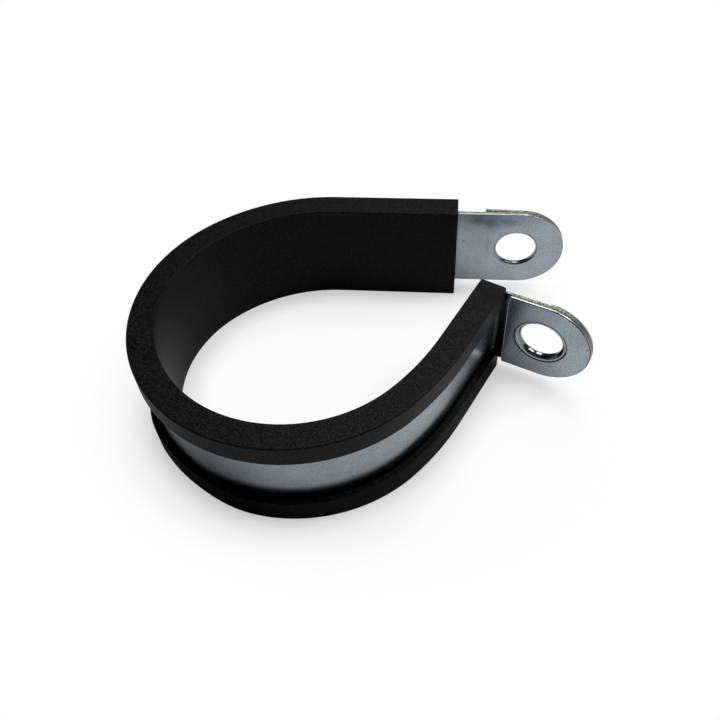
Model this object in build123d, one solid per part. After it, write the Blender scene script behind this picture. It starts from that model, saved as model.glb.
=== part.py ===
"""Cushioned loop clamp, sprung open: steel strap, rubber cushion and two lug plates.

Millimetres, +Z up along the ring's axis. The origin is on that axis at half the strap's
width, and the straight lug points along +X. The clamp lies on its side on the cushion's edge.
"""
from build123d import *
from math import radians, tan
import os

# Steel strap
strap_width = 20.0
strap_thick = 1.0

# Centreline of the strap under the cushion, from the straight lug round to the bent one
far_leg = 27.2
shoulder_radius = 37.3
shoulder_turn = 46.0
ring_radius = 31.0
sweep_radius = 58.0
sweep_turn = 15.0
near_leg = 18.1
mouth_angle = 64.0

# Sharp bend that turns the near lug outwards
bend_inner_radius = 0.7
bend_turn = 87.0

# Lugs: bare strap before each plate's heel, and how far the round tip is centred past the hole
far_heel_gap = 5.8
near_heel_gap = 1.65
tip_beyond_hole = 0.6

# Bolt holes, with a collar drawn outwards through each plate and swaged into its countersink
bolt_hole_diameter = 9.0
collar_wall = 0.75
collar_entry_radius = 0.5
collar_below_face = 0.1
collar_mouth_bevel = 0.6
collar_fit = 0.05

# Reinforcement plates
plate_thick = 0.8
plate_heel_wall = 2.45
plate_corner_radius = 0.5
plate_edge_break = 0.15
plate_countersink = 0.4

# Rubber cushion
cushion_inner_wall = 2.9
cushion_edge_wall = 2.2
lip_thick = 1.5
lip_cover = 3.2
lip_relief = 0.35
cushion_fit = 0.03
cushion_corner_bevel = 0.2
lip_tip_bevel = 0.3

half_thick = strap_thick / 2
half_width = strap_width / 2
bolt_hole_radius = bolt_hole_diameter / 2
collar_radius = bolt_hole_radius + collar_wall
plate_hole_radius = collar_radius + collar_fit
plate_face = half_thick + plate_thick
countersink = min(plate_countersink, 0.75 * plate_thick)
hole_to_heel = plate_hole_radius + plate_heel_wall
hole_to_tip = half_width + tip_beyond_hole
far_hole_reach = far_heel_gap + hole_to_heel
near_hole_reach = near_heel_gap + hole_to_heel
ring_turn = 180 + mouth_angle - shoulder_turn - sweep_turn
cushion_half_width = half_width + cushion_edge_wall
inner_offset = half_thick + cushion_inner_wall
outer_offset = half_thick + lip_thick
bend_radius = bend_inner_radius + half_thick


def cushioned_centreline():
    """Line, shoulder, ring, sweep, line: the path of the strap between the cushion's ends."""
    ring = CenterArc((0, 0), ring_radius, 90 + shoulder_turn, ring_turn)
    shoulder = JernArc(ring @ 0, -(ring % 0), shoulder_radius, -shoulder_turn)
    far_line = Line(shoulder @ 1, shoulder @ 1 + (shoulder % 1) * far_leg)
    sweep_arc = JernArc(ring @ 1, ring % 1, sweep_radius, sweep_turn)
    near_line = Line(sweep_arc @ 1, sweep_arc @ 1 + (sweep_arc % 1) * near_leg)
    return far_line, shoulder, ring, sweep_arc, near_line


far_line, shoulder, ring, sweep_arc, near_line = cushioned_centreline()
far_end = far_line @ 1
near_end = near_line @ 1
bend = JernArc(near_end, near_line % 1, bend_radius, -bend_turn)
near_heading = bend % 1
cushion_path = Wire([far_line, shoulder, ring, sweep_arc, near_line])

# Frames on the lugs: x along the lug, z outwards through the plate, origin in the hole
far_lug_frame = Plane(far_end + Vector(far_hole_reach, 0, 0), x_dir=(1, 0, 0), z_dir=(0, 1, 0))
near_lug_frame = Plane(
    bend @ 1 + near_heading * near_hole_reach,
    x_dir=near_heading,
    z_dir=near_heading.rotate(Axis.Z, -90),
)


def strap_blank():
    """The bent strip with square ends, as long as the lugs need."""
    far_tip = far_end + Vector(far_hole_reach + hole_to_tip, 0, 0)
    near_tip = bend @ 1 + near_heading * (near_hole_reach + hole_to_tip)
    path = Wire([Line(far_tip, far_end), far_line, shoulder, ring, sweep_arc, near_line, bend,
                 Line(bend @ 1, near_tip)])
    section = Plane(far_tip, x_dir=(0, 1, 0), z_dir=(-1, 0, 0)) * Rectangle(strap_thick, strap_width)
    return sweep(section, path=path)


def lug_outline(heel):
    """Straight-sided lug with a half-round tip, from heel behind the hole to its tip."""
    return make_face([
        Polyline((tip_beyond_hole, half_width), (-heel, half_width), (-heel, -half_width),
                 (tip_beyond_hole, -half_width)),
        CenterArc((tip_beyond_hole, 0), half_width, -90, 180),
    ])


def tip_waste(frame):
    """What is cropped off a square strip end to leave the half-round tip."""
    block = Pos(tip_beyond_hole + half_width, 0) * Rectangle(strap_width, 2 * strap_width)
    return frame * extrude(block - lug_outline(half_width), 2 * strap_thick, both=True)


def collar(frame):
    """Sleeve drawn out of the strip through the plate and swaged into its countersink."""
    root = half_thick - strap_thick / 4
    top = plate_face - collar_below_face
    # The flare slopes at 45 degrees, parallel to the countersink and collar_fit clear of it
    flare_start = plate_face - countersink + collar_fit * tan(radians(45 / 2))
    profile = make_face(Polyline(
        (bolt_hole_radius, root), (collar_radius, root), (collar_radius, flare_start),
        (collar_radius + top - flare_start, top), (bolt_hole_radius + collar_mouth_bevel, top),
        (bolt_hole_radius, top - collar_mouth_bevel), close=True))
    return frame * revolve(Plane.XZ * profile, Axis.Z)


def hole_cut(frame):
    """The bolt hole, with the rounded entry that drawing leaves on the strip's inner face."""
    entry_end = collar_entry_radius - half_thick
    profile = make_face([
        Polyline((bolt_hole_radius, entry_end), (bolt_hole_radius, plate_face), (0, plate_face),
                 (0, -half_thick), (bolt_hole_radius + collar_entry_radius, -half_thick)),
        RadiusArc((bolt_hole_radius + collar_entry_radius, -half_thick), (bolt_hole_radius, entry_end),
                  collar_entry_radius),
    ])
    return frame * revolve(Plane.XZ * profile, Axis.Z)


def strap():
    """One strip of steel from lug tip to lug tip."""
    body = strap_blank()
    for frame in (far_lug_frame, near_lug_frame):
        body = body - tip_waste(frame)
        body = body + collar(frame)
        body = body - hole_cut(frame)
    return body


def lug_plate(frame):
    """D-shaped plate on a lug's outer face, its hole countersunk for the swaged collar."""
    outline = lug_outline(hole_to_heel)
    outline = fillet(outline.vertices().group_by(Axis.X)[0], plate_corner_radius)
    outline = outline - Circle(plate_hole_radius)
    plate = Pos(0, 0, half_thick) * extrude(outline, plate_thick)
    plate = chamfer(plate.faces().sort_by(Axis.Z)[-1].inner_wires()[0].edges(), countersink)
    plate = chamfer(plate.faces().sort_by(Axis.Z)[-1].outer_wire().edges(), plate_edge_break)
    return frame * plate


def cushion_section():
    """C-profile: x from the strap's centreline to the ring's inside, y across the width."""
    body = Pos((inner_offset - outer_offset) / 2, 0)
    body = body * Rectangle(inner_offset + outer_offset, 2 * cushion_half_width)
    body = chamfer(body.vertices(), cushion_corner_bevel)
    slot_depth = half_thick + cushion_fit
    slot_half = half_width + cushion_fit
    slot = Rectangle(2 * slot_depth, 2 * slot_half)
    lip_edge = half_width - lip_cover
    tip_depth = slot_depth + lip_relief
    mouth = make_face(Polyline(
        (-slot_depth, slot_half), (-tip_depth, lip_edge), (-outer_offset + lip_tip_bevel, lip_edge),
        (-outer_offset, lip_edge + lip_tip_bevel), (-outer_offset, -lip_edge - lip_tip_bevel),
        (-outer_offset + lip_tip_bevel, -lip_edge), (-tip_depth, -lip_edge), (-slot_depth, -slot_half),
        close=True))
    return body - slot - mouth


def cushion():
    """The rubber profile, swept along the strap between its two square-cut ends."""
    at_far_end = Plane(far_end, x_dir=(0, -1, 0), z_dir=(-1, 0, 0))
    return sweep(at_far_end * cushion_section(), path=cushion_path)


os.makedirs("parts", exist_ok=True)
export_step(strap(), "parts/strap.step")
export_step(cushion(), "parts/cushion.step")
export_step(lug_plate(far_lug_frame), "parts/far_plate.step")
export_step(lug_plate(near_lug_frame), "parts/near_plate.step")
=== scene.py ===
import math

import bmesh
import bpy
from mathutils import Matrix, Vector


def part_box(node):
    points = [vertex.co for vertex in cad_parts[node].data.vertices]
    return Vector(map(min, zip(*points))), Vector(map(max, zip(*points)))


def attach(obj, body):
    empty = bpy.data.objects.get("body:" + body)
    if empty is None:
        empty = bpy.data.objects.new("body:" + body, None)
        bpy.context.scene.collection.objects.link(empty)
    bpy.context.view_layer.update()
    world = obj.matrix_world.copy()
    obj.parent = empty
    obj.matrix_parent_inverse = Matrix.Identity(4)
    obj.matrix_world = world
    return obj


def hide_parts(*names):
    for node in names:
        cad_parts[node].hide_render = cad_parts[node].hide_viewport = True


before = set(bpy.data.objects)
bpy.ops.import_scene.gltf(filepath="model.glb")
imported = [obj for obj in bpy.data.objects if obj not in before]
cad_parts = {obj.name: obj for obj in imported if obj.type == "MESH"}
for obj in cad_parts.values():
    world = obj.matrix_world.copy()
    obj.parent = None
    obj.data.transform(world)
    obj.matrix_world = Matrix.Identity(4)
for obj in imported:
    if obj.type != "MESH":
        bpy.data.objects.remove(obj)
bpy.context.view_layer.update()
bpy.ops.object.select_all(action="DESELECT")
print("frame loaded:", ", ".join(sorted(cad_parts)))

mm = 0.001
tiny = 0.002 * mm  # what lies nearer than this is taken to touch
up = Vector((0, 0, 1))
rimAngle = 60  # an edge that turns by more degrees than this is a rim
creaseAngle = 40  # and one that turns by more than this is shaded as a crease

# The strip's centreline, bent from the straight lug round to the outturned one
bends = {
    "farLeg": 27.2 * mm,
    "shoulder": {"radius": 37.3 * mm, "turn": 46, "steps": 23},
    "ring": {"radius": 31 * mm, "turn": 183, "steps": 91},
    "sweep": {"radius": 58 * mm, "turn": 15, "steps": 8},
    "nearLeg": 18.1 * mm,
    "lugBend": {"radius": 1.2 * mm, "turn": -87, "steps": 14},
}
cushionedLegs = [bends[leg] for leg in ("farLeg", "shoulder", "ring", "sweep", "nearLeg")]


def heading(degrees):
    return Vector((math.cos(math.radians(degrees)), math.sin(math.radians(degrees)), 0))


def shoulderStart():
    # the ring is centred on the origin and begins where the shoulder has turned into it
    shoulder = bends["shoulder"]
    centre = heading(90 + shoulder["turn"]) * (bends["ring"]["radius"] - shoulder["radius"])
    return centre + Vector((0, shoulder["radius"], 0))


def walk(legs, point, direction, make=True):
    # carries the selected faces or edges along straight runs and bends, and returns where they end
    for leg in legs:
        if isinstance(leg, dict):
            turn = math.radians(leg["turn"])
            centre = point + heading(direction + math.copysign(90, turn)) * leg["radius"]
            if make:
                # spin counts its angle clockwise about the axis
                bpy.ops.mesh.spin(steps=leg["steps"], angle=-turn, center=centre, axis=up)
            point = centre + Matrix.Rotation(turn, 3, "Z") @ (point - centre)
            direction = direction + leg["turn"]
        else:
            step = heading(direction) * leg
            if make:
                bpy.ops.mesh.extrude_region_move(TRANSFORM_OT_translate={"value": step})
            point = point + step
    return point, direction


farEnd = shoulderStart() + Vector((bends["farLeg"], 0, 0))
nearEnd, nearDirection = walk(cushionedLegs, farEnd, 180, make=False)
bendEnd, lugDirection = walk([bends["lugBend"]], nearEnd, nearDirection, make=False)
print("cushion ends at", farEnd, "and", nearEnd)


def selectOnly(piece):
    bpy.ops.object.select_all(action="DESELECT")
    piece.select_set(True)
    bpy.context.view_layer.objects.active = piece


def modelling(piece):
    selectOnly(piece)
    bpy.ops.object.mode_set(mode="EDIT")


def modelled():
    bpy.ops.object.mode_set(mode="OBJECT")


def pick(piece, kind, wanted):
    bpy.ops.mesh.select_mode(type=kind)
    bpy.ops.mesh.select_all(action="DESELECT")
    mesh = bmesh.from_edit_mesh(piece.data)
    for item in {"VERT": mesh.verts, "EDGE": mesh.edges, "FACE": mesh.faces}[kind]:
        if wanted(item):
            item.select_set(True)
    mesh.select_flush_mode()
    bmesh.update_edit_mesh(piece.data)


def middle(item):
    return sum((v.co for v in item.verts), Vector()) / len(item.verts)


def isRim(edge):
    return len(edge.link_faces) == 2 and edge.calc_face_angle() > math.radians(rimAngle)


def faceOutwards():
    bpy.ops.mesh.select_all(action="SELECT")
    bpy.ops.mesh.normals_make_consistent(inside=False)


def settle(piece, place=None):
    # turn, place and size go into the mesh, as on the frame's own nodes
    if place is not None:
        piece.matrix_world = place
    selectOnly(piece)
    bpy.ops.object.transform_apply(location=True, rotation=True, scale=True)


def openCircle(name, radius, segments, location):
    bpy.ops.mesh.primitive_circle_add(
        vertices=segments, radius=radius, fill_type="NOTHING", location=location)
    circle = bpy.context.object
    circle.name = name
    settle(circle)
    return circle


def applyModifier(piece, kind, **settings):
    bpy.context.view_layer.objects.active = piece
    modifier = piece.modifiers.new(kind.title(), kind)
    for name, value in settings.items():
        setattr(modifier, name, value)
    bpy.ops.object.modifier_apply(modifier=modifier.name)


def join(piece, others):
    selectOnly(piece)
    for other in others:
        other.select_set(True)
    bpy.ops.object.join()
    modelling(piece)
    bpy.ops.mesh.select_all(action="SELECT")
    bpy.ops.mesh.remove_doubles(threshold=tiny)
    modelled()


def smooth(piece):
    selectOnly(piece)
    bpy.ops.object.shade_smooth_by_angle(angle=math.radians(creaseAngle))
    applyModifier(piece, "WEIGHTED_NORMAL", weight=90, keep_sharp=True)


# Both ends of the strip have the same round-tipped outline and drawn hole
lug = {
    "halfWidth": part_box("strap")[1].z,
    "thick": 1 * mm,
    "tipBeyondHole": 0.6 * mm,
    "farHoleReach": 13.55 * mm,
    "nearHoleReach": 9.4 * mm,
    "outlineSegments": 128,
    "holeSegments": 128,
    "patchRadius": 7 * mm,  # the collar is modelled by itself as far out as this
    "patchHeel": 7.5 * mm,
    "edgeRounding": 0.1 * mm,
    "edgeSteps": 3,
    "edgeBeyondPatch": 1 * mm,
}


def placed(hole, along, outwards):
    # a lug's own axes: along it, across it and outwards through its plate, from the hole's middle
    across = outwards.cross(along)
    turn = Matrix((along, across, outwards)).transposed().to_4x4()
    return Matrix.Translation(hole) @ turn


farHole = farEnd + Vector((lug["farHoleReach"], 0, 0))
nearHole = bendEnd + heading(lugDirection) * lug["nearHoleReach"]
farLug = placed(farHole, heading(0), heading(90))
nearLug = placed(nearHole, heading(lugDirection), heading(lugDirection - 90))


def roundTippedSheet(name, heel, holeRadius, height, cornerRadius=0, cornerSteps=1):
    # a circle opened behind, its ends drawn back to the heel, then filled round the hole
    tip = lug["tipBeyondHole"]
    sheet = openCircle(name, lug["halfWidth"], lug["outlineSegments"], (tip, 0, height))
    modelling(sheet)
    pick(sheet, "VERT", lambda v: v.co.x < tip - tiny)
    bpy.ops.mesh.delete(type="VERT")
    pick(sheet, "VERT", lambda v: v.co.x < tip + tiny)
    bpy.ops.mesh.extrude_vertices_move(TRANSFORM_OT_translate={"value": (-heel - tip, 0, 0)})
    bpy.ops.mesh.edge_face_add()
    if cornerRadius:
        pick(sheet, "VERT", lambda v: v.co.x < -heel + tiny)
        bpy.ops.mesh.bevel(offset=cornerRadius, segments=cornerSteps, affect="VERTICES")
    bpy.ops.mesh.primitive_circle_add(
        vertices=lug["holeSegments"], radius=holeRadius, fill_type="NOTHING",
        location=(0, 0, height))
    bpy.ops.mesh.select_all(action="SELECT")
    bpy.ops.mesh.fill(use_beauty=True)
    bpy.ops.mesh.normals_make_consistent(inside=False)
    modelled()
    return sheet


collar = {
    "boreRadius": 4.5 * mm,
    "outerRadius": 5.25 * mm,
    "entryRadius": 0.5 * mm,
    "entrySteps": 8,
    "dip": 0.09 * mm,  # how far drawing the hole has pulled the inner face in
    "dipRadius": 6.4 * mm,
    "dipSlope": (0.7, 0.4),  # a ring on its slope: share of the way out, share of its depth
    "topBelowPlate": 0.1 * mm,
    "mouthWidth": 0.6 * mm,
    "mouthRounding": 0.12 * mm,
    "mouthEasing": (0.25, 0.7),  # the rings that round its two edges, in shares of the rounding
    "flareWidth": 0.28 * mm,
    "lipRounding": 0.06 * mm,
}
plate = {
    "thick": 0.8 * mm,
    "heel": 7.75 * mm,
    "holeRadius": 5.3 * mm,
    "countersink": 0.4 * mm,
    "cornerRadius": 0.5 * mm,
    "cornerSteps": 6,
    "edgeRounding": 0.2 * mm,
    "edgeSteps": 3,
    "edgeBeyondHole": 1 * mm,
    "farTurn": 1.8,
}


def collarRings():
    # radius and height of each ring, from the strip's inner face through the bore to its outer face
    c = collar
    half = lug["thick"] / 2
    top = half + plate["thick"] - c["topBelowPlate"]
    entryMiddle = c["boreRadius"] + c["entryRadius"]
    slopeOut, slopeIn = c["dipSlope"]
    rings = [(lug["patchRadius"], -half), (c["dipRadius"], -half),
             (entryMiddle + slopeOut * (c["dipRadius"] - entryMiddle), -half + slopeIn * c["dip"])]
    # the entry rounds over into the bore, and the dip runs out in it
    for i in range(c["entrySteps"] + 1):
        done = i / c["entrySteps"]
        angle = math.radians(90 * done)
        rings.append((entryMiddle - c["entryRadius"] * math.sin(angle),
                      c["entryRadius"] * (1 - math.cos(angle)) - half + c["dip"] * (1 - done)))
    # the mouth opens at 45 degrees, with its two edges eased
    inner, outer = c["boreRadius"], c["boreRadius"] + c["mouthWidth"]
    low, ease = top - c["mouthWidth"], c["mouthRounding"]
    first, second = (share * ease for share in c["mouthEasing"])
    rings += [(inner, low - ease), (inner + first, low), (inner + second, low + second),
              (outer - second, top - second), (outer, top - first), (outer + ease, top)]
    # the swaged rim overhangs the sleeve
    rim = c["outerRadius"] + c["flareWidth"]
    rings += [(rim - c["lipRounding"], top), (rim, top - c["lipRounding"]),
              (c["outerRadius"], top - c["flareWidth"]),
              (c["outerRadius"], half), (lug["patchRadius"], half)]
    return rings


def drawnCollar(name, place):
    rings = collarRings()
    radius, height = rings[0]
    sleeve = openCircle(name, radius, lug["holeSegments"], (0, 0, height))
    modelling(sleeve)
    for nextRadius, nextHeight in rings[1:]:
        bpy.ops.mesh.extrude_edges_move(
            TRANSFORM_OT_translate={"value": (0, 0, nextHeight - height)})
        scale = nextRadius / radius
        bpy.ops.transform.resize(value=(scale, scale, 1), center_override=(0, 0, nextHeight))
        radius, height = nextRadius, nextHeight
    faceOutwards()
    modelled()
    settle(sleeve, place)
    return sleeve


def makeStrap():
    strap = roundTippedSheet("strapBand", lug["patchHeel"], lug["patchRadius"], 0)
    settle(strap, farLug)
    nearSheet = roundTippedSheet("nearLugSheet", lug["patchHeel"], lug["patchRadius"], 0)
    settle(nearSheet, nearLug)
    # the far sheet's heel is carried round to meet the near sheet
    modelling(strap)
    heelX = farHole.x - lug["patchHeel"]
    pick(strap, "EDGE", lambda e: middle(e).x < heelX + tiny)
    farRun = lug["farHoleReach"] - lug["patchHeel"]
    nearRun = lug["nearHoleReach"] - lug["patchHeel"]
    walk([farRun] + cushionedLegs + [bends["lugBend"], nearRun], Vector((heelX, farEnd.y, 0)), 180)
    modelled()
    join(strap, [nearSheet])
    modelling(strap)
    faceOutwards()
    modelled()
    applyModifier(strap, "SOLIDIFY", thickness=lug["thick"], offset=0, use_even_offset=True)
    # the walls left in the two round openings make way for the collars
    modelling(strap)
    for place in (farLug, nearLug):
        back = place.inverted()
        pick(strap, "FACE", lambda f: all(
            abs((back @ v.co).xy.length - lug["patchRadius"]) < tiny
            and abs((back @ v.co).z) < lug["thick"] for v in f.verts))
        bpy.ops.mesh.delete(type="FACE")
    modelled()
    join(strap, [drawnCollar("farCollar", farLug), drawnCollar("nearCollar", nearLug)])
    modelling(strap)
    faceOutwards()
    awayFromHoles = lug["patchRadius"] + lug["edgeBeyondPatch"]
    pick(strap, "EDGE", lambda e: isRim(e) and all(
        min((v.co - farHole).length, (v.co - nearHole).length) > awayFromHoles for v in e.verts))
    bpy.ops.mesh.bevel(offset=lug["edgeRounding"], segments=lug["edgeSteps"], affect="EDGES")
    modelled()
    smooth(strap)
    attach(strap, "root")
    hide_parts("strap")
    return strap


def makePlate(name, node, place):
    face = lug["thick"] / 2 + plate["thick"]
    piece = roundTippedSheet(name, plate["heel"], plate["holeRadius"], face - plate["thick"] / 2,
                             plate["cornerRadius"], plate["cornerSteps"])
    applyModifier(piece, "SOLIDIFY", thickness=plate["thick"], offset=0)
    modelling(piece)
    pick(piece, "EDGE", lambda e: all(
        v.co.z > face - tiny and abs(v.co.xy.length - plate["holeRadius"]) < tiny for v in e.verts))
    bpy.ops.mesh.bevel(offset=plate["countersink"], segments=1, affect="EDGES")
    awayFromHole = plate["holeRadius"] + plate["edgeBeyondHole"]
    pick(piece, "EDGE", lambda e: isRim(e) and all(v.co.xy.length > awayFromHole for v in e.verts))
    bpy.ops.mesh.bevel(offset=plate["edgeRounding"], segments=plate["edgeSteps"], affect="EDGES")
    modelled()
    settle(piece, place)
    smooth(piece)
    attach(piece, "root")
    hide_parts(node)
    return piece


rubber = {
    "halfWidth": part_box("cushion")[1].z,
    "innerWall": 2.9 * mm,
    "lipThick": 1.62 * mm,
    "upperLipCover": 2.6 * mm,
    "lowerLipCover": 3.5 * mm,
    "lipRelief": 0.35 * mm,
    "fit": 0.03 * mm,
    "innerCornerRadius": 0.25 * mm,
    "outerCornerRadius": 0.35 * mm,
    "lipTipRadius": 0.1 * mm,
    "cornerSteps": 6,
    "slotRadius": 0.15 * mm,
    "slotSteps": 3,
}
# where the soft lower lip has been pressed in or bulges, by its angle round the ring
lipPushes = {
    "places": [
        {"angle": 237, "out": -0.42 * mm, "reach": 13 * mm},
        {"angle": 209, "out": 0.35 * mm, "reach": 8 * mm},
    ],
    "skin": 0.6 * mm,  # how deep into the lip a push is felt
    "fingertip": 0.8 * mm,
}


def lipEdge(side):
    # height of a lip's free edge: side 1 is the upper lip, -1 the lower
    cover = rubber["upperLipCover"] if side > 0 else rubber["lowerLipCover"]
    return side * (lug["halfWidth"] - cover)


def cushionProfile():
    # drawn at the far end, where the ring's inside is towards -Y
    r = rubber
    half = lug["thick"] / 2
    inner = half + r["innerWall"]
    outer = half + r["lipThick"]
    slotDepth = half + r["fit"]
    slotHalf = lug["halfWidth"] + r["fit"]
    y = farEnd.y
    bpy.ops.mesh.primitive_plane_add(size=1, location=farEnd + Vector((0, (outer - inner) / 2, 0)),
                                     rotation=(0, math.radians(90), 0))
    cushion = bpy.context.object
    cushion.name = "rubberLining"
    cushion.scale = (2 * r["halfWidth"], inner + outer, 1)
    settle(cushion)
    modelling(cushion)
    # the slot is cut out between four cuts, and its lips are drawn over the strip
    for at, across in (((0, y - slotDepth, 0), (0, 1, 0)), ((0, y + slotDepth, 0), (0, 1, 0)),
                       ((0, 0, slotHalf), (0, 0, 1)), ((0, 0, -slotHalf), (0, 0, 1))):
        bpy.ops.mesh.select_all(action="SELECT")
        bpy.ops.mesh.bisect(plane_co=at, plane_no=across)
    pick(cushion, "FACE", lambda f: middle(f).y > y - slotDepth and abs(middle(f).z) < slotHalf)
    bpy.ops.mesh.delete(type="FACE")
    for side in (1, -1):
        pick(cushion, "EDGE", lambda e: middle(e).y > y + slotDepth
             and abs(middle(e).z - side * slotHalf) < tiny)
        bpy.ops.mesh.extrude_edges_move(
            TRANSFORM_OT_translate={"value": (0, 0, lipEdge(side) - side * slotHalf)})

    def onLipTip(v):
        return min(abs(v.co.z - lipEdge(1)), abs(v.co.z - lipEdge(-1))) < tiny

    def roundCorners(wanted, radius, steps):
        pick(cushion, "VERT", wanted)
        bpy.ops.mesh.bevel(offset=radius, segments=steps, affect="VERTICES")

    pick(cushion, "VERT", lambda v: onLipTip(v) and v.co.y < y + slotDepth + tiny)
    bpy.ops.transform.translate(value=(0, r["lipRelief"], 0))
    bpy.ops.mesh.select_all(action="SELECT")
    bpy.ops.mesh.dissolve_limited(angle_limit=math.radians(1))
    roundCorners(lambda v: abs(v.co.z) > r["halfWidth"] - tiny and v.co.y < y,
                 r["innerCornerRadius"], r["cornerSteps"])
    roundCorners(lambda v: abs(v.co.z) > r["halfWidth"] - tiny and v.co.y > y,
                 r["outerCornerRadius"], r["cornerSteps"])
    roundCorners(lambda v: onLipTip(v) and v.co.y > y + outer - tiny,
                 r["lipTipRadius"], r["cornerSteps"])
    roundCorners(lambda v: abs(abs(v.co.z) - slotHalf) < tiny, r["slotRadius"], r["slotSteps"])
    return cushion


def pushLowerLip(cushion):
    # only the outside of the lower lip is left in view, and so only it follows a push
    lipFace = bends["ring"]["radius"] + lug["thick"] / 2 + rubber["lipThick"]
    pick(cushion, "VERT", lambda v: v.co.z < lipEdge(-1) + tiny
         and v.co.xy.length > lipFace - lipPushes["skin"])
    bpy.ops.mesh.hide(unselected=True)
    for push in lipPushes["places"]:
        outwards = heading(push["angle"])
        spot = outwards * lipFace
        pick(cushion, "VERT", lambda v: not v.hide
             and (v.co.xy - spot.xy).length < lipPushes["fingertip"])
        bpy.ops.transform.translate(
            value=outwards * push["out"], use_proportional_edit=True,
            proportional_edit_falloff="SMOOTH", proportional_size=push["reach"])
    bpy.ops.mesh.reveal(select=False)


def makeCushion():
    cushion = cushionProfile()
    pick(cushion, "FACE", lambda f: True)
    walk(cushionedLegs, farEnd, 180)
    faceOutwards()
    pushLowerLip(cushion)
    modelled()
    smooth(cushion)
    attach(cushion, "root")
    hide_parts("cushion")
    return cushion


strap = makeStrap()
print("strap made:", len(strap.data.polygons), "faces")
# the far plate turned a little about its collar when it was swaged
farPlatePlace = farLug @ Matrix.Rotation(math.radians(plate["farTurn"]), 4, "Z")
farPlate = makePlate("farLugPlate", "far_plate", farPlatePlace)
nearPlate = makePlate("nearLugPlate", "near_plate", nearLug)
print("plates made:", len(farPlate.data.polygons), "faces each")
cushion = makeCushion()
print("cushion made:", len(cushion.data.polygons), "faces")


def newMaterial(name):
    material = bpy.data.materials.new(name)
    material.use_nodes = True
    return material, material.node_tree, material.node_tree.nodes["Principled BSDF"]


def feed(tree, node, **inputs):
    # an input takes a plain value or another node's output
    for name, value in inputs.items():
        socket = node.inputs[name.replace("_", " ")]
        if isinstance(value, bpy.types.NodeSocket):
            tree.links.new(value, socket)
        else:
            socket.default_value = value


def newNode(tree, kind, **settings):
    node = tree.nodes.new("ShaderNode" + kind)
    inputs = {}
    for name, value in settings.items():
        if name in node.bl_rna.properties:
            setattr(node, name, value)
        else:
            inputs[name] = value
    feed(tree, node, **inputs)
    return node


def worked(tree, operation, *values):
    node = newNode(tree, "Math", operation=operation)
    for socket, value in zip(node.inputs, values):
        if isinstance(value, bpy.types.NodeSocket):
            tree.links.new(value, socket)
        else:
            socket.default_value = value
    return node.outputs["Value"]


def objectPlace(tree):
    return newNode(tree, "TexCoord").outputs["Object"]


def axesOf(tree, vector):
    return newNode(tree, "SeparateXYZ", Vector=vector).outputs


def lengthOf(tree, vector):
    node = newNode(tree, "VectorMath", operation="LENGTH")
    tree.links.new(vector, node.inputs[0])
    return node.outputs["Value"]


def spread(tree, value, low, high, start=0, end=1):
    return newNode(tree, "MapRange", Value=value, From_Min=start, From_Max=end, To_Min=low,
                   To_Max=high).outputs["Result"]


def fade(tree, value, start, end, low=0, high=1):
    # low at start and high at end, eased at both
    return newNode(tree, "MapRange", interpolation_type="SMOOTHSTEP", Value=value, From_Min=start,
                   From_Max=end, To_Min=low, To_Max=high).outputs["Result"]


def noise(tree, vector, scale, detail, **settings):
    return newNode(tree, "TexNoise", Vector=vector, Scale=scale, Detail=detail,
                   **settings).outputs["Fac"]


def mixed(tree, share, first, second, **settings):
    return newNode(tree, "Mix", data_type="RGBA", Factor=share, A=first, B=second,
                   **settings).outputs["Result"]


def colourRamp(tree, value, places, colours):
    node = newNode(tree, "ValToRGB", Fac=value)
    elements = node.color_ramp.elements
    for place in places[2:]:
        elements.new(place)
    for element, place, colour in zip(elements, places, colours):
        element.position = place
        element.color = colour
    return node.outputs["Color"]


def bumped(tree, height, strength, distance):
    return newNode(tree, "Bump", Height=height, Strength=strength,
                   Distance=distance).outputs["Normal"]


def lugCoordinates(tree, place):
    # along the lug, across it and outwards through the plate, from the middle of the hole
    return newNode(tree, "Mapping", vector_type="TEXTURE", Vector=objectPlace(tree),
                   Location=place.translation, Rotation=place.to_euler()).outputs["Vector"]


def distanceFromAxis(tree, vector, slope=0):
    # from the hole's axis, with a share of the height counted in
    flat = newNode(tree, "VectorMath", operation="MULTIPLY")
    flat.inputs[1].default_value = (1, 1, slope)
    tree.links.new(vector, flat.inputs[0])
    return lengthOf(tree, flat.outputs["Vector"])


zinc = {
    "dark": (0.25, 0.295, 0.335, 1),
    "light": (0.3, 0.345, 0.385, 1),
    # dark smudges, and the painted shade of the dip by the far hole
    "stainAndShade": (0.085, 0.1, 0.125, 1),
    # the painted shade laid in the bores, the collar joints, the sharp bend and above the lower lip
    "paintedShade": (0.012, 0.013, 0.015, 1),
    "roughLow": 0.22,
    "roughHigh": 0.29,
    "cloudScale": 220,
    "cloudDetail": 6,
    "cloudPlaces": (0.35, 0.65),
    "speckScale": 4600,
    "speckDetail": 2,
    "speckRange": (0.3, 0.7),
    "speckContrast": 0.28,
    "grainScale": 5000,
    "grainDetail": 3,
    "grainBump": 0.08,
    "grainHeight": 0.02 * mm,
}
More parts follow.
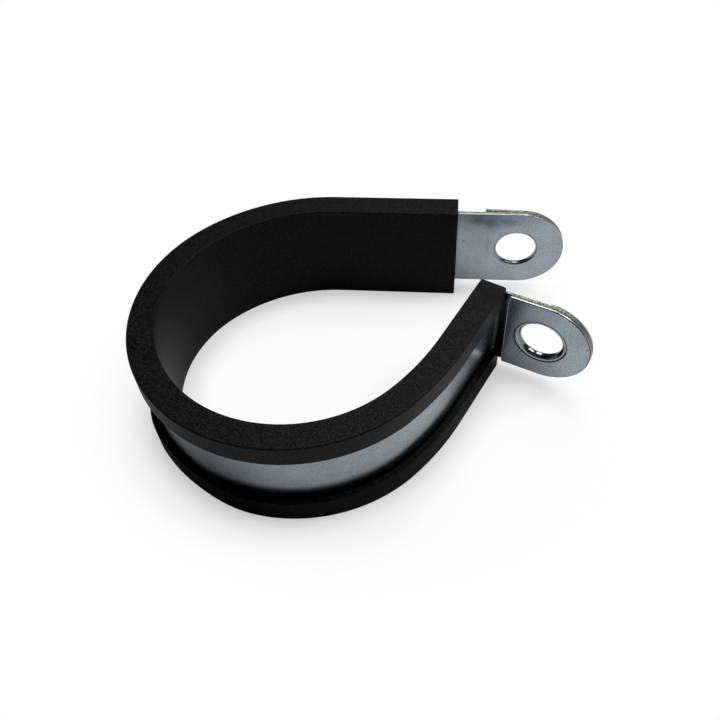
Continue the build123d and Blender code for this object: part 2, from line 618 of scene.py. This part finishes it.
# smudges on a lug, and one painted shade by the far hole: middle along, across and outwards from the
# hole, and reach, both in millimetres
stainsAndPaintedShade = [
    {"lug": "far", "middle": (-9.1, -8.2, -0.5), "reach": (2.9, 2, 0.7), "depth": 0.6},
    {"lug": "far", "middle": (-6, -7.6, -0.5), "reach": (3.9, 2.4, 0.7), "depth": 0.68},
    {"lug": "far", "middle": (-1.9, -7.8, -0.5), "reach": (3.3, 1.6, 0.7), "depth": 0.5},
    # painted shade: the crescent left of the far hole, where the drawn dip turns from the light
    {"lug": "far", "middle": (-6.4, -0.9, -0.5), "reach": (0.9, 4.2, 0.7), "depth": 0.3},
    {"lug": "far", "middle": (-11.9, -2.1, -0.5), "reach": (0.46, 0.46, 0.4), "depth": 1},
    {"lug": "near", "middle": (9.7, 2.4, 1.3), "reach": (0.45, 0.4, 0.4), "depth": 0.9},
    {"lug": "near", "middle": (5.5, -1.35, 1.3), "reach": (0.45, 0.4, 0.4), "depth": 0.8},
]
stainEdge = {"raggedness": 0.9, "scale": 700, "detail": 4}
# painted shade in the bores and their mouths; the lower roughness there is the steel's own
borePaintedShadeAndPolish = {"from": 4.85 * mm, "to": 5.1 * mm, "slope": 0.3, "depth": 0.42, "smoother": -0.12}
# painted shade along the joint round each collar, on its outer side
seamPaintedShade = {"radius": 5.62 * mm, "from": 0.21 * mm, "to": 0.06 * mm, "above": 0.9 * mm}
# painted shade darkening the strip in the sharp bend beside the near plate's heel
bendPaintedShade = {
    "from": -7.75 * mm,
    "to": -8.3 * mm,
    "end": -9.9 * mm,
    "behind": -1 * mm,
    "depth": 0.92,
}
# painted shade on the ring's steel just above the lower lip
lipPaintedShade = {
    "from": -2 * mm,
    "to": -4.3 * mm,
    "depth": 0.85,
    "legFrom": 29 * mm,
    "legTo": 32 * mm,
}


def stainShade(tree, vector, stainAndShade):
    # strongest at the middle of a ragged oval, and nothing outside it
    oval = newNode(tree, "Mapping", vector_type="TEXTURE", Vector=vector,
                   Location=Vector(stainAndShade["middle"]) * mm, Scale=Vector(stainAndShade["reach"]) * mm)
    cloud = noise(tree, vector, stainEdge["scale"], stainEdge["detail"])
    ragged = worked(tree, "MULTIPLY_ADD", cloud, stainEdge["raggedness"],
                    lengthOf(tree, oval.outputs["Vector"]))
    inside = stainEdge["raggedness"] / 2
    return worked(tree, "MULTIPLY", fade(tree, ragged, inside + 1, inside), stainAndShade["depth"])


def boreShade(tree, vector):
    # painted shade: the drawn bore and its mouth, darkened against the flat
    return fade(tree, distanceFromAxis(tree, vector, borePaintedShadeAndPolish["slope"]), borePaintedShadeAndPolish["to"], borePaintedShadeAndPolish["from"])


def seamShade(tree, vector):
    # painted shade in the joint between a swaged collar and its plate
    offset = worked(tree, "SUBTRACT", distanceFromAxis(tree, vector), seamPaintedShade["radius"])
    line = fade(tree, worked(tree, "ABSOLUTE", offset), seamPaintedShade["from"], seamPaintedShade["to"])
    outside = worked(tree, "GREATER_THAN", axesOf(tree, vector)["Z"], seamPaintedShade["above"])
    return worked(tree, "MULTIPLY", line, outside)


def bendShade(tree, vector):
    # painted shade in the sharp bend, from the plate's heel back to the leg, where the strip lies in
    # shadow
    axes = axesOf(tree, vector)
    depth = fade(tree, axes["X"], bendPaintedShade["from"], bendPaintedShade["to"], 0, bendPaintedShade["depth"])
    onLug = worked(tree, "GREATER_THAN", axes["X"], bendPaintedShade["end"])
    here = worked(tree, "GREATER_THAN", axes["Z"], bendPaintedShade["behind"])
    return worked(tree, "MULTIPLY", depth, worked(tree, "MULTIPLY", onLug, here))


def lipShade(tree):
    # painted shade on the ring's steel above the lower lip: the dark reflection of the lip and of the
    # shadowed floor below it
    axes = axesOf(tree, objectPlace(tree))
    low = fade(tree, axes["Z"], lipPaintedShade["from"], lipPaintedShade["to"], 0, lipPaintedShade["depth"])
    onRing = fade(tree, axes["X"], lipPaintedShade["legTo"], lipPaintedShade["legFrom"])
    return worked(tree, "MULTIPLY", low, onRing)


def zincMaterial():
    material, tree, shader = newMaterial("zincPlating")
    place = objectPlace(tree)
    cloud = noise(tree, place, zinc["cloudScale"], zinc["cloudDetail"])
    speck = noise(tree, place, zinc["speckScale"], zinc["speckDetail"])
    grain = noise(tree, place, zinc["grainScale"], zinc["grainDetail"])
    # cloudy plating with the fine light and dark specks of its crystals
    tint = colourRamp(tree, cloud, zinc["cloudPlaces"], (zinc["dark"], zinc["light"]))
    level = spread(tree, speck, 1 - zinc["speckContrast"], 1 + zinc["speckContrast"],
                   *zinc["speckRange"])
    colour = mixed(tree, 1, tint, level, blend_type="MULTIPLY")
    far = lugCoordinates(tree, farLug)
    near = lugCoordinates(tree, nearLug)
    for stainAndShade in stainsAndPaintedShade:
        shade = stainShade(tree, {"far": far, "near": near}[stainAndShade["lug"]], stainAndShade)
        colour = mixed(tree, shade, colour, zinc["stainAndShade"])
    bores = [boreShade(tree, far), boreShade(tree, near)]
    shades = [worked(tree, "MULTIPLY", mask, borePaintedShadeAndPolish["depth"]) for mask in bores]
    shades += [seamShade(tree, far), seamShade(tree, near), bendShade(tree, near), lipShade(tree)]
    # painted shade in the bores, collar joints, bend and above the lower lip
    for shade in shades:
        colour = mixed(tree, shade, colour, zinc["paintedShade"])
    rough = spread(tree, cloud, zinc["roughLow"], zinc["roughHigh"])
    for mask in bores:
        rough = worked(tree, "MULTIPLY_ADD", mask, borePaintedShadeAndPolish["smoother"], rough)
    feed(tree, shader, Base_Color=colour, Roughness=rough, Metallic=1,
         Normal=bumped(tree, grain, zinc["grainBump"], zinc["grainHeight"]))
    return material


cutEdge = {
    "bright": (0.36, 0.385, 0.34, 1),
    "torn": (0.19, 0.2, 0.15, 1),
    "pit": (0.03, 0.032, 0.022, 1),
    "tip": (0.07, 0.075, 0.05, 1),
    "smoothPlaces": (0.3, 0.42),
    "tornPlaces": (0.4, 0.5, 0.62),
    "tornFrom": -0.12 * mm,
    "tornTo": 0.98 * mm,
    "blend": 0.06 * mm,
    "tipFrom": 1 * mm,
    "tipTo": 6 * mm,
    "tipDepth": 0.85,
    "tipSmoothShare": 0.55,
    "smoothRough": 0.22,
    "tornRough": 0.45,
    "metallic": 0.6,
    "pitScale": 2600,
    "pitDetail": 4,
    "pitRoughness": 0.6,
    "pitBump": 0.5,
    "pitHeight": 0.05 * mm,
    "heelReach": 1.5,  # heel lengths behind the hole
    "tipReach": 1 * mm,
    "sideSlack": 0.3 * mm,
    "tipSlack": 0.05 * mm,
    "steepest": 0.3,
}


def cutEdgeMaterial(name, place):
    # sheared edge: smooth where the punch entered either sheet, torn and speckled further in
    edge = cutEdge
    material, tree, shader = newMaterial(name)
    vector = lugCoordinates(tree, place)
    axes = axesOf(tree, vector)
    inside = fade(tree, axes["Z"], edge["tornFrom"], edge["tornFrom"] + edge["blend"])
    outside = fade(tree, axes["Z"], edge["tornTo"], edge["tornTo"] - edge["blend"])
    torn = worked(tree, "MULTIPLY", inside, outside)
    pits = noise(tree, vector, edge["pitScale"], edge["pitDetail"], Roughness=edge["pitRoughness"])
    smoothColour = colourRamp(tree, pits, edge["smoothPlaces"], (edge["torn"], edge["bright"]))
    tornColour = colourRamp(tree, pits, edge["tornPlaces"],
                            (edge["pit"], edge["torn"], edge["bright"]))
    colour = mixed(tree, torn, smoothColour, tornColour)
    # the cropped tips are duller than the slit sides of the strip, most of all where they are torn
    atTip = fade(tree, axes["X"], edge["tipFrom"], edge["tipTo"], 0, edge["tipDepth"])
    dull = worked(tree, "MULTIPLY", atTip, spread(tree, torn, edge["tipSmoothShare"], 1))
    feed(tree, shader, Base_Color=mixed(tree, dull, colour, edge["tip"]),
         Roughness=spread(tree, torn, edge["smoothRough"], edge["tornRough"]),
         Metallic=edge["metallic"],
         Normal=bumped(tree, pits, edge["pitBump"], edge["pitHeight"]))
    return material


def onLug(face, place):
    # a face's normal and middle on the lug's own axes
    back = place.inverted()
    return back.to_3x3() @ face.normal, back @ face.center


def onCutEdge(face, place):
    # on the outline of the lug or its plate, and square to the sheet
    normal, point = onLug(face, place)
    behind = -cutEdge["heelReach"] * plate["heel"]
    if not behind < point.x < lug["halfWidth"] + cutEdge["tipReach"]:
        return False
    if abs(point.z) > lug["thick"] / 2 + plate["thick"] + tiny:
        return False
    fromTip = (point.xy - Vector((lug["tipBeyondHole"], 0))).length
    side = abs(point.y) > lug["halfWidth"] - cutEdge["sideSlack"]
    tip = fromTip > lug["halfWidth"] - cutEdge["tipSlack"]
    return abs(normal.z) < cutEdge["steepest"] and (side or tip)


# the broken edge round a plate's outer face: a painted highlight along its heel, and a painted dark
# reflection on the rolled rim elsewhere
heelPaintedHighlight = {
    "dark": (0.3, 0.33, 0.33, 1),
    "light": (0.75, 0.79, 0.8, 1),
    "places": (0.35, 0.55),
    "detail": 4,
    "metallic": 0.2,
    "rough": 0.4,
}
# painted dark reflection on the rolled rim of a plate's outer face
rolledRimPaintedShade = {
    "dark": (0.02, 0.022, 0.022, 1),
    "light": (0.08, 0.09, 0.09, 1),
    "places": (0.4, 0.62),
    "detail": 3,
    "metallic": 1,
    "rough": 0.35,
}
brokenEdge = {
    "steepest": 0.1,
    "flattest": 0.99,
    "rolledAbove": 0.5,
    "lowest": 0.5,  # of the plate's thickness
    "heelReach": 2,  # edge roundings
}


def brokenEdgeMaterial(name, look):
    material, tree, shader = newMaterial(name)
    pits = noise(tree, objectPlace(tree), cutEdge["pitScale"], look["detail"])
    feed(tree, shader, Base_Color=colourRamp(tree, pits, look["places"], (look["dark"], look["light"])),
         Roughness=look["rough"], Metallic=look["metallic"])
    return material


def onBrokenEdge(face, place):
    normal, point = onLug(face, place)
    return (brokenEdge["steepest"] < normal.z < brokenEdge["flattest"]
            and point.z > lug["thick"] / 2 + brokenEdge["lowest"] * plate["thick"]
            and point.xy.length >= plate["holeRadius"] + plate["edgeBeyondHole"])


def atHeel(face, place):
    point = onLug(face, place)[1]
    return abs(point.x + plate["heel"]) < brokenEdge["heelReach"] * plate["edgeRounding"]


def onHeelLine(face, place):
    return onBrokenEdge(face, place) and atHeel(face, place)


def onRolledRim(face, place):
    flat = onLug(face, place)[0].z > brokenEdge["rolledAbove"]
    return onBrokenEdge(face, place) and flat and not atHeel(face, place)


rubberFinish = {
    "dark": (0.0001, 0.0001, 0.0002, 1),
    "light": (0.0108, 0.0105, 0.0101, 1),
    "cloudScale": 3800,
    "cloudDetail": 4,
    "cloudPlaces": (0.46, 0.6),
    "grainScale": 5000,
    "grainDetail": 3,
    "grainBump": 0.9,
    "grainHeight": 0.05 * mm,
    "rough": 0.42,
    "specular": 0.06,
}
# painted shade: the outside of the lower lip is a darker copy of the rubber, darkest below the sharp
# bend
lowerLipPaintedShade = dict(rubberFinish)
lowerLipPaintedShade["light"] = (0.005, 0.005, 0.005, 1)
lowerLipPaintedShade["specular"] = 0.015
lowerLipPaintedShade["blackFrom"] = 29 * mm
lowerLipPaintedShade["blackTo"] = 36 * mm


def rubberMaterial(name, finish):
    material, tree, shader = newMaterial(name)
    place = objectPlace(tree)
    cloud = noise(tree, place, finish["cloudScale"], finish["cloudDetail"])
    grain = noise(tree, place, finish["grainScale"], finish["grainDetail"])
    colour = colourRamp(tree, cloud, finish["cloudPlaces"], (finish["dark"], finish["light"]))
    # painted shade, deepening towards the near end of the lower lip
    if "blackFrom" in finish:
        black = fade(tree, axesOf(tree, place)["X"], finish["blackFrom"], finish["blackTo"])
        colour = mixed(tree, black, colour, finish["dark"])
    feed(tree, shader, Base_Color=colour, Roughness=finish["rough"],
         Specular_IOR_Level=finish["specular"],
         Normal=bumped(tree, grain, finish["grainBump"], finish["grainHeight"]))
    return material


def onLowerLip(face):
    # the side of the lower lip that is turned away from the ring's axis
    outwards = face.center.xy.dot(face.normal.xy) > 0
    return outwards and abs(face.normal.z) < 0.5 and face.center.z < lipEdge(-1)


def paint(piece, material, wanted=lambda face: True):
    piece.data.materials.append(material)
    slot = len(piece.data.materials) - 1
    for face in piece.data.polygons:
        if wanted(face):
            face.material_index = slot


plating = zincMaterial()
farCut = cutEdgeMaterial("farCutEdge", farLug)
nearCut = cutEdgeMaterial("nearCutEdge", nearLug)
heelHighlightFinish = brokenEdgeMaterial("paintedHeelHighlight", heelPaintedHighlight)
rolledRimShadeFinish = brokenEdgeMaterial("rolledRimPaintedShade", rolledRimPaintedShade)
for piece in (strap, farPlate, nearPlate):
    paint(piece, plating)
for piece, material, place in ((strap, farCut, farLug), (strap, nearCut, nearLug),
                               (farPlate, farCut, farLug), (nearPlate, nearCut, nearLug)):
    paint(piece, material, lambda face: onCutEdge(face, place))
for piece, place in ((farPlate, farPlatePlace), (nearPlate, nearLug)):
    # painted highlight along each plate's heel, painted dark reflection round the rest of its rim
    paint(piece, heelHighlightFinish, lambda face: onHeelLine(face, place))
    paint(piece, rolledRimShadeFinish, lambda face: onRolledRim(face, place))
paint(cushion, rubberMaterial("mattRubber", rubberFinish))
# painted shade on the outside of the lower lip
paint(cushion, rubberMaterial("shadedLowerLipRubber", lowerLipPaintedShade), onLowerLip)
print("materials made")

studio = {
    "floorSize": 8,
    "floorColour": (0.95, 0.95, 0.95, 1),
    "floorRough": 0.9,
    # how much of its own white the floor shows from near to far, in ovals given in millimetres
    "seenGlow": {"near": 0.76, "from": 1, "to": 1.5, "middle": (13, 0, 0), "reach": (46, 35, 35)},
    "mirroredGlow": {"near": 0.02, "from": 1.1, "to": 1.6, "middle": (-7, -3, 0), "reach": (43, 42, 42)},
    "contact": {"reach": 9 * mm, "from": 0.45, "to": 0.92, "level": 0.68},
    "backdropLevel": 1,
    "roomLevel": 0.08,
    "backdropTop": 0.05,
    "backdropFade": 0.3,
}
softboxes = {
    "keySoftbox": {"place": (0.53, 0.15, 0.65), "size": 0.34, "power": 4.6},
    "backSoftbox": {"place": (0.1, 0.51, 0.67), "size": 0.32, "power": 1.7},
    "topSoftbox": {"place": (0, 0.24, 0.82), "size": 0.34, "power": 2},
}


def glowShare(tree, rays, glow):
    oval = newNode(tree, "Mapping", vector_type="TEXTURE", Vector=objectPlace(tree),
                   Location=Vector(glow["middle"]) * mm, Scale=Vector(glow["reach"]) * mm)
    reach = lengthOf(tree, oval.outputs["Vector"])
    return worked(tree, "MULTIPLY", rays, fade(tree, reach, glow["from"], glow["to"], glow["near"], 1))


def floorMaterial():
    material, tree, shader = newMaterial("paleFloor")
    feed(tree, shader, Base_Color=studio["floorColour"], Roughness=studio["floorRough"],
         Specular_IOR_Level=0)
    # the floor's own white away from the clamp, and more of its shading and shadow near it
    path = newNode(tree, "LightPath").outputs
    mirrored = worked(tree, "MAXIMUM", path["Is Glossy Ray"], path["Is Transmission Ray"])
    share = worked(tree, "MAXIMUM", glowShare(tree, path["Is Camera Ray"], studio["seenGlow"]),
                   glowShare(tree, mirrored, studio["mirroredGlow"]))
    # the white is dimmed close under the clamp, where its shadow is deepest
    contact = studio["contact"]
    openness = newNode(tree, "AmbientOcclusion", samples=8, Distance=contact["reach"])
    dimmed = fade(tree, openness.outputs["AO"], contact["from"], contact["to"], contact["level"], 1)
    white = newNode(tree, "Emission", Strength=dimmed)
    mix = newNode(tree, "MixShader", Fac=share)
    tree.links.new(shader.outputs["BSDF"], mix.inputs[1])
    tree.links.new(white.outputs["Emission"], mix.inputs[2])
    feed(tree, tree.nodes["Material Output"], Surface=mix.outputs["Shader"])
    return material


def makeFloor():
    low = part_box("cushion")[0].z
    bpy.ops.mesh.primitive_plane_add(size=studio["floorSize"], location=(0, 0, low))
    floor = bpy.context.object
    floor.name = "paleFloor"
    settle(floor)
    paint(floor, floorMaterial())


def makeWorld():
    # a pale backdrop all round above the floor's edge, and a dimmer room above it
    world = bpy.data.worlds.new("studio")
    bpy.context.scene.world = world
    world.use_nodes = True
    tree = world.node_tree
    height = axesOf(tree, newNode(tree, "TexCoord").outputs["Generated"])["Z"]
    level = fade(tree, height, studio["backdropTop"], studio["backdropFade"],
                 studio["backdropLevel"], studio["roomLevel"])
    feed(tree, tree.nodes["Background"], Color=(1, 1, 1, 1), Strength=level)


def softbox(name, place, size, power):
    bpy.ops.object.light_add(type="AREA", location=place)
    lamp = bpy.context.object
    lamp.name = name
    lamp.data.size = size
    lamp.data.energy = power
    lamp.rotation_euler = (-Vector(place)).to_track_quat("-Z", "Y").to_euler()


view = {
    "aim": Vector((12.699, -2.34, 0)) * mm,
    "distance": 161.52 * mm,
    "azimuth": 9.096,
    "elevation": 50.128,
    "roll": -4.719,
    "lens": 39.259,
    "sensor": 36,
    "clipStart": 5 * mm,
}


def makeCamera():
    turn = (Matrix.Rotation(math.radians(view["azimuth"]), 4, "Z")
            @ Matrix.Rotation(math.radians(90 - view["elevation"]), 4, "X"))
    place = Matrix.Translation(view["aim"]) @ turn @ Matrix.Translation((0, 0, view["distance"]))
    bpy.ops.object.camera_add()
    camera = bpy.context.object
    camera.matrix_world = place @ Matrix.Rotation(math.radians(view["roll"]), 4, "Z")
    camera.data.lens = view["lens"]
    camera.data.sensor_width = view["sensor"]
    camera.data.clip_start = view["clipStart"]
    bpy.context.scene.camera = camera


makeFloor()
makeWorld()
for name, lamp in softboxes.items():
    softbox(name, lamp["place"], lamp["size"], lamp["power"])
makeCamera()
bpy.context.scene.view_settings.view_transform = "Standard"
print("studio made")
